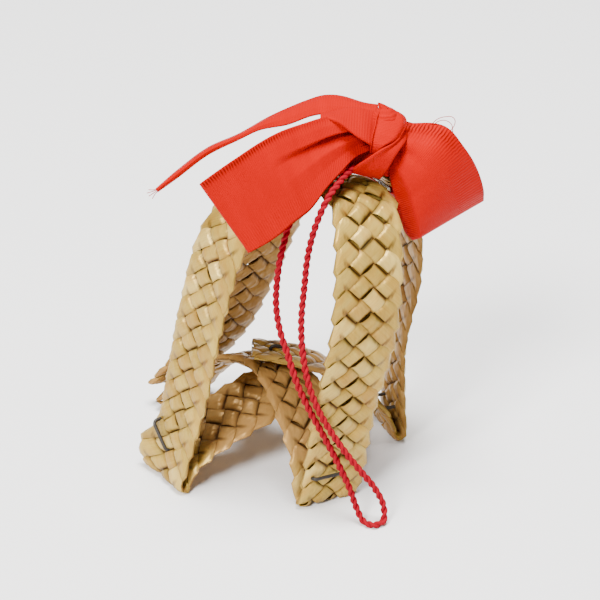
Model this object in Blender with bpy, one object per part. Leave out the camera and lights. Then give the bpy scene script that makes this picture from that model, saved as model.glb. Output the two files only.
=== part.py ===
"""A small bell-shaped ornament: two plaited straw strips tied with wire, a ribbon bow and a hanging cord.

Each strip runs over the crown and is folded at a foot, and comes back inside as a strut to the hub.
Routes are in millimetres, in the ornament's own frame: +Z up, the feet on z = 0.
"""

import math

import bmesh
import bpy
from mathutils import Vector

MM = 0.001

# Middle of the ornament's box without the cord, in the coordinates of the routes: it becomes the origin.
BOX_MIDDLE = Vector((8.4, 2.63, 0.0))

# The plait: five flat straw strands, whose cells stand up in turn on both faces.
PLAIT_WIDTH = 17.0
STRANDS = 5
CELL = PLAIT_WIDTH / STRANDS
HALF_ROW = 2.95
CORE_HALF_THICKNESS = 0.75
CELL_RISE = 0.35
EDGE_SCALLOP = 0.3
EDGE_HALF_THICKNESS = 0.6
MAX_TURN = math.radians(20)
SHORTEST_STEP = 0.3
SHORTEST_LAST_ROW = 0.4
SLOPE_REACH = 0.2
CURVE_PARTS = 24

# A fold at a foot: the radius of its middle line, and how far the sole is pressed flat.
FOLD_RADIUS = 1.35
FOLD_ANGLES = (0, 45, 90, 135, 180)
SOLE_PRESSED = 0.25
SOLE_SNAP = 0.06
PRESSED_FULLY_BELOW = 2.0
PRESSED_FADE = 4.0

# The front left fold spreads into a flap past the leg's far edge, this way.
FLAP_WAY = Vector((-0.95, 0.31, 0.0))
FLAP_ROOT = 2.0

# Tie wire.
WIRE_RADIUS = 0.35
WIRE_CLEARANCE = 0.35
WIRE_SIDES = 5
WIRE_BEND = 1.2
WIRE_BEND_STEPS = 2

# The hanging cord and the ribbon.
CORD_RADIUS = 0.85
CORD_STEP = 4.0
RIBBON_THICKNESS = 0.8
RIBBON_COLUMNS = 3

STRAW = (0.62, 0.46, 0.24)
WIRE_GREY = (0.07, 0.06, 0.05)
CORD_RED = (0.56, 0.03, 0.05)
RIBBON_RED = (0.76, 0.06, 0.025)


# ---------------------------------------------------------------- routes

def unit(x, y, z=0.0):
    return Vector((x, y, z)).normalized()


def fold(foot, heading, roll, side, flare=0.0):
    """Stations of a fold at a foot, from the strut up to the leg; the leg is on the side given, 1 or -1."""
    outward = unit(-math.sin(math.radians(heading)), math.cos(math.radians(heading))) * side
    centre_height = FOLD_RADIUS + CORE_HALF_THICKNESS + CELL_RISE - SOLE_PRESSED
    stations = []
    for angle in [math.radians(degrees) for degrees in FOLD_ANGLES]:
        reach = -math.cos(angle) * FOLD_RADIUS
        stations.append((foot[0] + outward.x * reach, foot[1] + outward.y * reach,
                         centre_height - math.sin(angle) * FOLD_RADIUS,
                         heading, roll, flare * abs(math.cos(angle))))
    return stations


# A station is x, y, z, the heading and roll of the strip's width in degrees, and its flap's reach.
BACK_RIGHT_FOOT = (31.3, 12.6)
FRONT_LEFT_FOOT = (-25.75, -12.0)
FRONT_RIGHT_FOOT = (14.1, -21.0)

PLAIT_A = (
    # the cut end on top of the hub, and the strut down to the back right foot
    [(-5.0, 3.9, 29.3, -88, 15, 0), (6.1, 4.5, 26.9, -83, 10, 0), (16.4, 6.7, 21.2, -77, 8, 0),
     (24.7, 9.7, 13.2, -74, 6, 0), (28.5, 11.3, 7.6, -72, 4, 0)]
    + fold(BACK_RIGHT_FOOT, -71.3, 3, 1)
    # the back right leg, the crown and the front left leg
    + [(32.2, 12.8, 9.0, -71, 2.5, 0), (31.6, 12.4, 28.3, -70, 1.8, 0), (34.3, 11.7, 51.2, -65, 1.2, 0),
       (31.2, 9.4, 70.0, -62, 1.7, 0), (18.8, 4.4, 82.0, -60, 0.8, 0), (2.8, -2.9, 80.4, -56, -0.5, 0),
       (-10.2, -7.7, 67.2, -51, -4, 0), (-16.4, -10.5, 47.5, -51, -3, 0),
       (-20.9, -11.7, 25.5, -52, -1.3, 0), (-24.0, -12.4, 13.5, -54, 0, 0),
       (-25.2, -12.6, 8.6, -55, 0, 3.0), (-26.3, -12.7, 4.6, -56, 0, 3.0)]
    + fold(FRONT_LEFT_FOOT, -57, -1, -1, flare=1.6)[::-1]
    # the strut up to the hub, under the other strip
    + [(-23.6, -10.8, 5.2, -59, -3, 3.0), (-19.6, -9.0, 9.4, -60, -8, 1.5),
       (-12.2, -6.0, 14.2, -58, -14, 0), (-4.6, -2.2, 17.3, -57, -16, 0), (3.0, 2.5, 19.6, -57, -15, 0)]
)

PLAIT_B = (
    # the back left leg from its cut end, the crown and the front right leg
    [(-26.5, 28.8, 5.4, 28.4, -5.5, 0), (-13.4, 21.0, 25.8, 28, -8.4, 0), (-5.0, 15.0, 46.8, 28.6, -8, 0),
     (2.6, 8.9, 65.8, 29, -6, 0), (12.7, 0.9, 77.4, 28, -4, 0), (22.0, -10.0, 77.2, 24, -5, 0),
     (23.6, -19.7, 66.4, 20, -6, 0), (22.6, -23.9, 48.1, 20.1, -5.8, 0),
     (18.1, -23.3, 26.1, 23.5, -4.6, 0), (15.9, -22.2, 9.0, 24.5, -3.5, 0)]
    + fold(FRONT_RIGHT_FOOT, 27, -3, -1)[::-1]
    # the strut up over the hub and down to the back left foot
    + [(12.8, -18.3, 9.0, 31, -5, 0), (8.5, -8.6, 18.4, 35, -9, 0), (1.1, 4.0, 24.7, 37.6, -13, 0),
       (-11.7, 16.6, 19.3, 38.3, -12, 0), (-20.2, 23.2, 9.8, 38.3, -10, 0), (-25.2, 26.9, 1.0, 38.3, -9, 0)]
)

# Tie wires: the middle of each loop, the direction of its long side, the way through the straw,
# its length and its depth.
TIES = {
    "tie_wire_front_left": ((-25.0, -8.6, 12.0), unit(0.43, -0.55, -0.78), unit(-0.84, -0.54), 8.4, 7.4),
    "tie_wire_front_right": ((13.0, -21.4, 9.0), unit(0.91, 0.41), unit(0.41, -0.91, 0.05), 8.0, 7.8),
    "tie_wire_back_right": ((30.5, 12.1, 8.6), unit(0.32, -0.95), unit(0.95, 0.32), 7.0, 7.4),
    "tie_wire_back_left": ((-21.6, 25.0, 10.6), unit(0.84, 0.54), unit(-0.5, 0.6, -0.62), 7.0, 8.4),
    "tie_wire_hub": ((1.0, 2.8, 23.9), unit(0.95, 0.1, -0.2), unit(0.2, 0.1, 0.97), 4.4, 12.6),
}

# The cord: from under the bow, down in front of the front right leg to the floor, round and back.
CORD_ROUTE = [
    (18.0, -5.0, 85.4), (13.0, -9.4, 83.0), (8.4, -13.6, 79.6), (5.2, -16.2, 74.6), (3.6, -17.6, 69.4),
    (2.4, -18.8, 63.5), (1.8, -20.6, 55.6), (2.6, -22.8, 49.8), (4.7, -25.2, 43.4), (6.7, -27.1, 37.3),
    (9.7, -28.4, 30.5), (13.3, -29.3, 23.4), (16.6, -29.9, 16.4), (19.4, -30.4, 9.8), (21.3, -31.1, 4.2),
    (23.1, -32.7, 1.2), (25.6, -33.9, 0.9), (27.9, -32.6, 1.2), (28.0, -30.9, 4.4), (25.6, -30.5, 9.6),
    (22.5, -30.6, 14.0), (19.1, -30.4, 18.7), (15.0, -29.8, 25.0), (11.6, -28.9, 31.4), (9.4, -27.6, 37.7),
    (8.1, -25.2, 44.8), (7.8, -22.8, 51.8), (8.5, -20.4, 59.6), (9.4, -18.8, 67.6), (11.4, -17.8, 75.2),
    (14.2, -16.0, 81.0), (17.2, -12.0, 83.6), (20.2, -7.4, 85.0),
]

# Ribbon: each stretch is ruled between its two edges, given from the knot outwards, and what is folded
# comes back to the knot.
LEFT_LOOP = (
    [(25.0, 1.5, 94.8), (18.1, -2.0, 95.2), (7.5, -9.5, 95.2), (-1.7, -15.5, 93.7), (-9.0, -19.3, 90.8),
     (-14.4, -21.4, 87.0), (-14.8, -20.2, 86.2), (-8.0, -16.6, 89.2), (0.0, -11.6, 91.6), (9.0, -5.0, 93.0),
     (18.5, 1.2, 92.8), (26.0, 3.5, 91.6)],
    [(25.8, -4.0, 89.6), (20.4, -10.4, 87.4), (13.3, -17.8, 84.2), (8.7, -21.0, 81.2), (3.0, -23.4, 76.4),
     (-3.4, -24.5, 71.0), (-4.0, -23.2, 70.4), (2.0, -21.0, 75.4), (8.4, -17.6, 81.0), (14.0, -13.0, 85.4),
     (20.2, -6.6, 87.6), (26.5, -1.0, 88.4)],
)
RIGHT_LOOP = (
    [(28.5, 3.5, 92.4), (34.0, 1.0, 93.2), (41.0, -1.6, 93.4), (47.6, -2.6, 86.0), (51.2, 0.4, 76.2),
     (51.0, 2.6, 72.6), (49.6, 4.6, 75.6), (45.0, 3.4, 84.6), (39.0, 3.8, 89.6), (29.0, 5.5, 90.0)],
    [(27.4, -3.4, 86.0), (28.4, -6.4, 82.8), (31.0, -9.0, 79.0), (33.2, -10.0, 74.6), (34.6, -9.8, 67.9),
     (36.0, -8.2, 67.0), (36.4, -5.8, 71.4), (35.6, -3.6, 78.0), (33.0, -2.0, 83.0), (28.5, 0.6, 86.4)],
)
LONG_TAIL = (
    [(26.0, 5.0, 94.6), (19.4, 6.6, 96.8), (13.4, 6.0, 97.2), (1.6, 3.4, 93.4), (-11.5, -0.6, 87.6),
     (-19.2, -3.8, 83.7), (-25.7, -6.8, 79.7)],
    [(25.5, 0.5, 94.2), (19.4, -0.8, 96.8), (13.4, -2.0, 96.9), (1.6, -3.6, 93.9), (-11.5, -5.4, 87.7),
     (-19.2, -7.0, 83.6), (-25.6, -8.4, 79.3)],
)
SHORT_TAIL = (
    [(28.5, 4.5, 92.0), (33.5, 8.0, 90.0), (39.0, 11.5, 86.0), (42.6, 13.0, 80.4)],
    [(28.5, 4.5, 87.0), (32.4, 10.5, 83.0), (35.6, 14.5, 78.0), (38.0, 17.0, 72.6)],
)
LOWER_WRAP = (
    [(31.6, -2.6, 91.4), (29.5, -6.4, 90.4), (26.2, -8.8, 89.2), (23.5, -8.8, 86.8), (21.6, -7.8, 84.3),
     (21.9, -6.0, 81.9)],
    [(32.4, -3.2, 89.8), (30.7, -6.8, 88.8), (29.1, -8.5, 87.2), (28.0, -8.4, 85.2), (26.7, -7.2, 83.0),
     (25.6, -6.0, 81.8)],
)
STRETCHES = (
    (LEFT_LOOP, 20),
    (RIGHT_LOOP, 18),
    (LONG_TAIL, 12),
    (SHORT_TAIL, 5),
    (LOWER_WRAP, 7),
)
KNOT_MIDDLE = Vector((27.9, -0.3, 90.7))
KNOT_RADII = Vector((4.5, 6.4, 6.3))
KNOT_RINGS = 8
KNOT_SIDES = 12
KNOT_SQUARENESS = 0.8

# The gathered turn of ribbon that holds the bow down: it passes under the strip and up into the knot.
TURN_PLACE = Vector((28.6, 8.3, 73.4))
TURN_HALF_WIDTH = 3.4
TURN_SIDE_REACH = 9.9
TURN_UNDER = 1.9
TURN_OVER = 1.4
TURN_SEARCH_STEPS = 400
TIED_SHARE = 0.6
TURN_TIED = (Vector((0.6, -3.0, -3.4)), Vector((-0.6, 3.0, -3.4)))


def smooth(points, step):
    """Points every step or so along a curve through the given ones, each with all its values."""
    points = [Vector(p) for p in points]
    knots = [0.0]
    for a, b in zip(points, points[1:]):
        knots.append(knots[-1] + (Vector(b[:3]) - Vector(a[:3])).length ** 0.5)
    slopes = []
    for i in range(len(points)):
        low, high = max(i - 1, 0), min(i + 1, len(points) - 1)
        if low == i or high == i:
            slopes.append((points[high] - points[low]) / (knots[high] - knots[low]))
            continue
        before, after = knots[i] - knots[low], knots[high] - knots[i]
        slope = (points[i] - points[low]) / before * after + (points[high] - points[i]) / after * before
        slopes.append(slope / (before + after))
    dense = []
    for i in range(len(points) - 1):
        gap = knots[i + 1] - knots[i]
        for j in range(CURVE_PARTS):
            t = j / CURVE_PARTS
            dense.append(points[i] * (2 * t**3 - 3 * t**2 + 1) + slopes[i] * (gap * (t**3 - 2 * t**2 + t))
                         + points[i + 1] * (3 * t**2 - 2 * t**3) + slopes[i + 1] * (gap * (t**3 - t**2)))
    dense.append(points[-1])
    lengths = [0.0]
    for a, b in zip(dense, dense[1:]):
        lengths.append(lengths[-1] + (Vector(b[:3]) - Vector(a[:3])).length)

    def at(distance):
        i = 1
        while i < len(lengths) - 1 and lengths[i] < distance:
            i += 1
        share = (distance - lengths[i - 1]) / max(lengths[i] - lengths[i - 1], 1e-9)
        return dense[i - 1].lerp(dense[i], min(max(share, 0.0), 1.0))

    if step is None:
        return at, lengths[-1]
    count = max(1, round(lengths[-1] / step))
    return [at(lengths[-1] * i / count) for i in range(count + 1)]


# ---------------------------------------------------------------- objects

def material(name, colour, roughness, metallic=0.0):
    made = bpy.data.materials.new(name)
    made.use_nodes = True
    shader = made.node_tree.nodes["Principled BSDF"]
    shader.inputs["Base Color"].default_value = (*colour, 1.0)
    shader.inputs["Roughness"].default_value = roughness
    shader.inputs["Metallic"].default_value = metallic
    return made


def add_object(name, rings, faces, finish):
    """An object from its points in millimetres, moved so that the box's middle is the origin."""
    mesh = bpy.data.meshes.new(name)
    mesh.from_pydata([(p - BOX_MIDDLE) * MM for p in rings], [], faces)
    mesh.materials.append(finish)
    made = bpy.data.objects.new(name, mesh)
    bpy.context.scene.collection.objects.link(made)
    face_outwards(made)
    return made


def face_outwards(made):
    work = bmesh.new()
    work.from_mesh(made.data)
    bmesh.ops.recalc_face_normals(work, faces=work.faces)
    work.to_mesh(made.data)
    work.free()


def tube_faces(rings, sides, closed=False):
    """Quads between neighbouring rings; the ends are capped unless the tube is closed on itself."""
    faces = []
    for i in range(rings if closed else rings - 1):
        for j in range(sides):
            a, b = i * sides, (i + 1) % rings * sides
            k = (j + 1) % sides
            faces.append((a + j, a + k, b + k, b + j))
    if not closed:
        faces.append(tuple(range(sides)))
        faces.append(tuple(range((rings - 1) * sides, rings * sides)))
    return faces


# ---------------------------------------------------------------- plaited strips

def ring_distances(at, length):
    """Where the strip's rings stand: two to a row of the plait, and closer where it is folded."""
    def heading(distance):
        a, b = at(max(distance - SLOPE_REACH, 0)), at(min(distance + SLOPE_REACH, length))
        return (Vector(b[:3]) - Vector(a[:3])).normalized()

    def between(low, high):
        if heading(low).angle(heading(high)) < MAX_TURN or high - low < SHORTEST_STEP:
            return [high]
        middle = (low + high) / 2
        return between(low, middle) + between(middle, high)

    rows = int(length / HALF_ROW)
    marks = [i * HALF_ROW for i in range(rows + 1)]
    if length - marks[-1] < SHORTEST_LAST_ROW * HALF_ROW:
        marks.pop()
    marks.append(length)
    result = [0.0]
    for low, high in zip(marks, marks[1:]):
        result += between(low, high)
    return result


def plait_section(phase, pressed):
    """Points across the strip at one ring, as distances along its width and its thickness.

    The cells of neighbouring strands stand up in turn, so their corners sink between them.
    """
    half = PLAIT_WIDTH / 2

    def rise(column):
        wave = CELL_RISE * math.cos(math.pi * (phase + column))
        thickness = CORE_HALF_THICKNESS + wave * (1 - pressed) + CELL_RISE * pressed
        at_edge = column in (0, STRANDS)
        return min(thickness, EDGE_HALF_THICKNESS + CELL_RISE * pressed) if at_edge else thickness

    def across(column):
        scallop = EDGE_SCALLOP * math.cos(math.pi * (phase + column))
        if column == 0:
            return -half - scallop
        return half + scallop if column == STRANDS else column * CELL - half

    front = [(across(i), rise(i)) for i in range(STRANDS + 1)]
    return front + [(u, -v) for u, v in reversed(front)]


def strip_frame(at, length, distance):
    """The strip's centre, width direction and normal at a distance along it."""
    here = at(distance)
    ahead, behind = at(min(distance + SLOPE_REACH, length)), at(max(distance - SLOPE_REACH, 0.0))
    along = (Vector(ahead[:3]) - Vector(behind[:3])).normalized()
    heading, roll = math.radians(here[3]), math.radians(here[4])
    width = Vector((math.cos(heading) * math.cos(roll), math.sin(heading) * math.cos(roll), math.sin(roll)))
    return here, width, along.cross(width).normalized()


def plait_faces(rings, sides, heights):
    """Triangles of the strip: each quad is split along its lower diagonal, so the cells stand up."""
    faces = [tuple(range(sides)), tuple(range((rings - 1) * sides, rings * sides))]
    for i in range(rings - 1):
        for j in range(sides):
            k = (j + 1) % sides
            a, b, c, d = i * sides + j, i * sides + k, (i + 1) * sides + k, (i + 1) * sides + j
            if heights[a] + heights[c] < heights[b] + heights[d]:
                faces += [(a, b, c), (a, c, d)]
            else:
                faces += [(a, b, d), (b, c, d)]
    return faces


def plaited_strip(name, route, finish):
    at, length = smooth(route, None)
    points, heights = [], []
    distances = ring_distances(at, length)
    for distance in distances:
        here, width, normal = strip_frame(at, length, distance)
        pressed = min(max(1 + (PRESSED_FULLY_BELOW - here[2]) / PRESSED_FADE, 0.0), 1.0)
        for u, v in plait_section(distance / HALF_ROW, pressed):
            flap = max(0.0, -u - FLAP_ROOT) / (PLAIT_WIDTH / 2 - FLAP_ROOT)
            point = Vector(here[:3]) + width * u + normal * v + FLAP_WAY * here[5] * flap
            if point.z < SOLE_SNAP:
                point.z = 0.0
            points.append(point)
            heights.append(abs(v))
    sides = 2 * (STRANDS + 1)
    return add_object(name, points, plait_faces(len(distances), sides, heights), finish)


# ---------------------------------------------------------------- tie wires

def wire_loop(name, tie, radius, finish):
    """A wire bent to a closed loop: two long runs on the faces of the straw, and two runs through it."""
    middle, side, through, length, depth = tie
    through = (through - side * through.dot(side)).normalized()
    across = side.cross(through)
    path = []
    for quarter in range(4):
        sign_side = 1 if quarter in (0, 3) else -1
        sign_through = 1 if quarter in (0, 1) else -1
        along = side * sign_side * (length / 2 - WIRE_BEND)
        corner = along + through * sign_through * (depth / 2 - WIRE_BEND)
        for step in range(WIRE_BEND_STEPS + 1):
            angle = math.pi / 2 * (quarter + step / WIRE_BEND_STEPS)
            out = side * math.cos(angle) + through * math.sin(angle)
            path.append(Vector(middle) + corner + out * WIRE_BEND)
    points = []
    for i, here in enumerate(path):
        along = (path[(i + 1) % len(path)] - path[i - 1]).normalized()
        out = along.cross(across)
        for j in range(WIRE_SIDES):
            angle = 2 * math.pi * j / WIRE_SIDES
            points.append(here + (out * math.cos(angle) + across * math.sin(angle)) * radius)
    return add_object(name, points, tube_faces(len(path), WIRE_SIDES, closed=True), finish)


def cut(target, cutter):
    """Takes the cutter out of the target, and removes the cutter."""
    modifier = target.modifiers.new("cut", "BOOLEAN")
    modifier.operation = "DIFFERENCE"
    modifier.object = cutter
    apply_modifiers(target)
    bpy.data.objects.remove(cutter, do_unlink=True)


def join(target, other):
    """Makes the two one body, and removes the other object."""
    modifier = target.modifiers.new("join", "BOOLEAN")
    modifier.operation = "UNION"
    modifier.object = other
    apply_modifiers(target)
    bpy.data.objects.remove(other, do_unlink=True)


def apply_modifiers(target):
    bpy.context.view_layer.update()
    view = bpy.context.evaluated_depsgraph_get()
    mesh = bpy.data.meshes.new_from_object(target.evaluated_get(view))
    target.modifiers.clear()
    target.data = mesh


# ---------------------------------------------------------------- ribbon

def ribbon_stretch(edges, rows, finish):
    """A closed thin body between two ribbon edges."""
    first = smooth(edges[0], None)
    second = smooth(edges[1], None)
    grid = []
    for i in range(rows + 1):
        a = Vector(first[0](first[1] * i / rows)[:3])
        b = Vector(second[0](second[1] * i / rows)[:3])
        grid.append([a.lerp(b, j / RIBBON_COLUMNS) for j in range(RIBBON_COLUMNS + 1)])
    points = []
    for i, row in enumerate(grid):
        low, high = max(i - 1, 0), min(i + 1, rows)
        front, back = [], []
        for j, here in enumerate(row):
            along = grid[high][j] - grid[low][j]
            across = row[min(j + 1, RIBBON_COLUMNS)] - row[max(j - 1, 0)]
            normal = along.cross(across).normalized() * (RIBBON_THICKNESS / 2)
            front.append(here + normal)
            back.append(here - normal)
        points += front + back[::-1]
    return add_object("stretch", points, tube_faces(rows + 1, 2 * (RIBBON_COLUMNS + 1)), finish)


def ribbon_knot(name, finish):
    """The pulled knot: a rounded body."""
    points = [KNOT_MIDDLE - Vector((0, 0, KNOT_RADII.z))]
    for i in range(1, KNOT_RINGS):
        tilt = math.pi * i / KNOT_RINGS
        out = math.sin(tilt) ** KNOT_SQUARENESS
        for j in range(KNOT_SIDES):
            angle = 2 * math.pi * j / KNOT_SIDES
            points.append(KNOT_MIDDLE + Vector((KNOT_RADII.x * out * math.cos(angle),
                                                KNOT_RADII.y * out * math.sin(angle),
                                                -KNOT_RADII.z * math.cos(tilt))))
    points.append(KNOT_MIDDLE + Vector((0, 0, KNOT_RADII.z)))
    faces = []
    last = len(points) - 1
    for j in range(KNOT_SIDES):
        k = (j + 1) % KNOT_SIDES
        faces.append((0, 1 + k, 1 + j))
        faces.append((last, last - KNOT_SIDES + j, last - KNOT_SIDES + k))
        for i in range(KNOT_RINGS - 2):
            a, b = 1 + i * KNOT_SIDES, 1 + (i + 1) * KNOT_SIDES
            faces.append((a + j, a + k, b + k, b + j))
    return add_object(name, points, faces, finish)


def ribbon_turn(route, finish):
    """The turn round the strip: down past its two edges from the knot, and across under it."""
    at, length = smooth(route, None)
    steps = [length * i / TURN_SEARCH_STEPS for i in range(TURN_SEARCH_STEPS + 1)]
    distance = min(steps, key=lambda d: (Vector(at(d)[:3]) - TURN_PLACE).length)
    here, width, normal = strip_frame(at, length, distance)
    centre = Vector(here[:3])
    along = width.cross(normal)
    if normal.z < 0:
        normal = -normal
    path = [(KNOT_MIDDLE + TURN_TIED[0], TIED_SHARE)]
    path.append((centre + width * TURN_SIDE_REACH + normal * TURN_OVER, 1.0))
    path.append((centre + width * TURN_SIDE_REACH - normal * TURN_UNDER, 1.0))
    path.append((centre - width * TURN_SIDE_REACH - normal * TURN_UNDER, 1.0))
    path.append((centre - width * TURN_SIDE_REACH + normal * TURN_OVER, 1.0))
    path.append((KNOT_MIDDLE + TURN_TIED[1], TIED_SHARE))
    points = []
    for i, (place, share) in enumerate(path):
        onward = (path[(i + 1) % len(path)][0] - place).normalized() - (path[i - 1][0] - place).normalized()
        out = onward.cross(along).normalized() * (RIBBON_THICKNESS / 2)
        half = along * TURN_HALF_WIDTH * share
        points += [place - half - out, place + half - out, place + half + out, place - half + out]
    return add_object("turn", points, tube_faces(len(path), 4, closed=True), finish)


# ---------------------------------------------------------------- assembly

def hanging_cord(name, finish):
    curve = bpy.data.curves.new(name, "CURVE")
    curve.dimensions = "3D"
    curve.bevel_depth = CORD_RADIUS * MM
    curve.bevel_resolution = 2
    curve.use_fill_caps = True
    points = smooth(CORD_ROUTE, CORD_STEP)
    spline = curve.splines.new("POLY")
    spline.points.add(len(points) - 1)
    for place, point in zip(spline.points, points):
        place.co = (*((Vector(point[:3]) - BOX_MIDDLE) * MM), 1.0)
    curve.materials.append(finish)
    made = bpy.data.objects.new(name, curve)
    bpy.context.scene.collection.objects.link(made)
    return made


def build():
    for old in list(bpy.data.objects):
        bpy.data.objects.remove(old, do_unlink=True)

    straw = material("plaited_straw", STRAW, 0.55)
    wire = material("tie_wire", WIRE_GREY, 0.5, 0.8)
    cord_cotton = material("twisted_cord", CORD_RED, 0.8)
    satin = material("ribbon", RIBBON_RED, 0.5)

    strips = [plaited_strip("straw_plait_a", PLAIT_A, straw), plaited_strip("straw_plait_b", PLAIT_B, straw)]
    for name, tie in TIES.items():
        wire_loop(name, tie, WIRE_RADIUS, wire)
        for strip in strips:
            cut(strip, wire_loop("hole", tie, WIRE_RADIUS + WIRE_CLEARANCE, wire))

    bow = ribbon_knot("ribbon_bow", satin)
    join(bow, ribbon_turn(PLAIT_A, satin))
    for edges, rows in STRETCHES:
        join(bow, ribbon_stretch(edges, rows, satin))
    hanging_cord("hanging_cord", cord_cotton)


build()
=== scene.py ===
"""A small bell-shaped straw ornament: two plaited bands, tie wires, a ribbon bow and a hanging cord."""

import math

import bpy
import numpy as np
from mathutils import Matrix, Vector


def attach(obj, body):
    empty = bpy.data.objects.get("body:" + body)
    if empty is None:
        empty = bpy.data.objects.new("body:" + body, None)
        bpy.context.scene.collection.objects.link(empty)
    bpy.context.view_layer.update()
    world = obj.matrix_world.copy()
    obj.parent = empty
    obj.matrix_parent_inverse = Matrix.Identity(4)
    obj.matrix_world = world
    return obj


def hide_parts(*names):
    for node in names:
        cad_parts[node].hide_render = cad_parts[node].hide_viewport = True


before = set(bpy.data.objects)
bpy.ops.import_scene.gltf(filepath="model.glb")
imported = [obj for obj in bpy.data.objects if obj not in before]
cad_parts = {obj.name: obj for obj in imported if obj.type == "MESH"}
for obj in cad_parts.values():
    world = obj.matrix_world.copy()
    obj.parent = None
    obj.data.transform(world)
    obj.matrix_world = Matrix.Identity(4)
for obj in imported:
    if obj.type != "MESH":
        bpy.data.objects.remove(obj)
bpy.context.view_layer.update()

# Sizes are in millimetres in the ornament's own routes, whose middle is the frame's origin.
MM = 0.001
BOX_MIDDLE = np.array([8.4, 2.63, 0.0])


# ---------------------------------------------------------------- camera
# A long lens looks down on the ornament, a little above the middle of its arches.

AIM = np.array([7.5, 0.0, 45.3])
LOOK_DOWN = math.radians(28)
TOWARDS = np.array([0.0, -math.cos(LOOK_DOWN), math.sin(LOOK_DOWN)])
DISTANCE = 450.0
LENS = 108.0
SENSOR = 36.0

camera_data = bpy.data.cameras.new("camera")
camera_data.sensor_width = SENSOR
camera_data.lens = LENS
camera = bpy.data.objects.new("camera", camera_data)
bpy.context.scene.collection.objects.link(camera)
camera.location = Vector((AIM + TOWARDS * DISTANCE - BOX_MIDDLE) * MM)
camera.rotation_euler = (math.pi / 2 - LOOK_DOWN, 0, 0)
bpy.context.scene.camera = camera


# ---------------------------------------------------------------- hanging cord
# Cotton cord of two plies twisted together. Both ends are held under the bow, and the loop hangs down
# in front of the front right leg to the surface below.

PLY_RADIUS = 0.56
PLY_CENTRE = 0.33
CORD_LAY = 3.9
CORD_RING_STEP = 0.3
PLY_SIDES = 10
VALLEY_SHADE = 0.9
FIBRES_AROUND = 4
FIBRE_TWIST = 1.2
FIBRE_LENGTHS = 0.8
PLY_MAP_GAP = 50
SURFACE_GAP = 0.02
# a direction that the route never takes, to measure the twist from
NEVER_ALONG = (0.3, 1.0, 0.2)

CORD_ROUTE = [
    (18.0, -5.0, 85.4), (13.0, -9.4, 83.0), (8.4, -13.6, 79.6), (5.2, -16.2, 74.6), (3.6, -17.6, 69.4),
    (2.4, -18.8, 63.5), (1.8, -20.6, 55.6), (2.6, -22.8, 49.8), (4.7, -25.2, 43.4), (6.7, -27.1, 37.3),
    (9.7, -28.4, 30.5), (13.3, -29.3, 23.4), (16.6, -29.9, 16.4), (19.4, -30.4, 9.8), (21.3, -31.1, 4.2),
    (23.1, -32.7, 1.2), (25.6, -33.9, 0.9), (27.9, -32.6, 1.2), (28.0, -30.9, 4.4), (25.6, -30.5, 9.6),
    (22.5, -30.6, 14.0), (19.1, -30.4, 18.7), (15.0, -29.8, 25.0), (11.6, -28.9, 31.4), (9.4, -27.6, 37.7),
    (8.1, -25.2, 44.8), (7.8, -22.8, 51.8), (8.5, -20.4, 59.6), (9.4, -18.8, 67.6), (11.4, -17.8, 75.2),
    (14.2, -16.0, 81.0), (17.2, -12.0, 83.6), (20.2, -7.4, 85.0),
]


def linear(code):
    """An sRGB hex colour as linear values."""
    parts = [int(code[i:i + 2], 16) / 255 for i in (1, 3, 5)]
    return [c / 12.92 if c <= 0.04045 else ((c + 0.055) / 1.055) ** 2.4 for c in parts] + [1.0]


def between(first, last, leaving, arriving, t):
    """Values at shares t of the way between two, with the slope given at each."""
    return (first * (2 * t**3 - 3 * t**2 + 1) + leaving * (t**3 - 2 * t**2 + t)
            + last * (3 * t**2 - 2 * t**3) + arriving * (t**3 - t**2))


def smooth(points, part=24):
    """A dense curve through the points, each with all its values, and the length up to each of its places."""
    points = np.array(points, float)
    gaps = np.linalg.norm(np.diff(points[:, :3], axis=0), axis=1) ** 0.5
    slopes = np.zeros_like(points)
    slopes[0] = (points[1] - points[0]) / gaps[0]
    slopes[-1] = (points[-1] - points[-2]) / gaps[-1]
    for i in range(1, len(points) - 1):
        before, after = gaps[i - 1], gaps[i]
        slope = (points[i] - points[i - 1]) / before * after + (points[i + 1] - points[i]) / after * before
        slopes[i] = slope / (before + after)
    t = (np.arange(part) / part)[:, None]
    dense = [between(points[i], points[i + 1], slopes[i] * gap, slopes[i + 1] * gap, t)
             for i, gap in enumerate(gaps)]
    dense = np.vstack(dense + [points[-1:]])
    lengths = np.concatenate([[0], np.cumsum(np.linalg.norm(np.diff(dense[:, :3], axis=0), axis=1))])
    return dense, lengths


def along_curve(dense, lengths, places):
    """The curve's values at the given lengths along it."""
    return np.stack([np.interp(places, lengths, dense[:, i]) for i in range(dense.shape[1])], axis=-1)


def unit(vectors):
    """The same directions with length 1."""
    return vectors / np.maximum(np.linalg.norm(vectors, axis=-1, keepdims=True), 1e-9)


def tube_faces(rings, sides, first=0, closed=False):
    """Quads of a tube, with its two ends filled unless it is closed on itself."""
    faces = []
    for i in range(rings if closed else rings - 1):
        a, b = first + i * sides, first + (i + 1) % rings * sides
        faces += [(a + j, a + (j + 1) % sides, b + (j + 1) % sides, b + j) for j in range(sides)]
    if not closed:
        faces.append(tuple(first + j for j in reversed(range(sides))))
        faces.append(tuple(first + (rings - 1) * sides + j for j in range(sides)))
    return faces


def rings_round(line, out, across, radius, sides):
    """A ring of points round each place of a line, in the plane of two directions."""
    around = 2 * math.pi * np.arange(sides) / sides
    return line[:, None] + radius * (out[:, None] * np.cos(around)[None, :, None]
                                     + across[:, None] * np.sin(around)[None, :, None])


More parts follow.
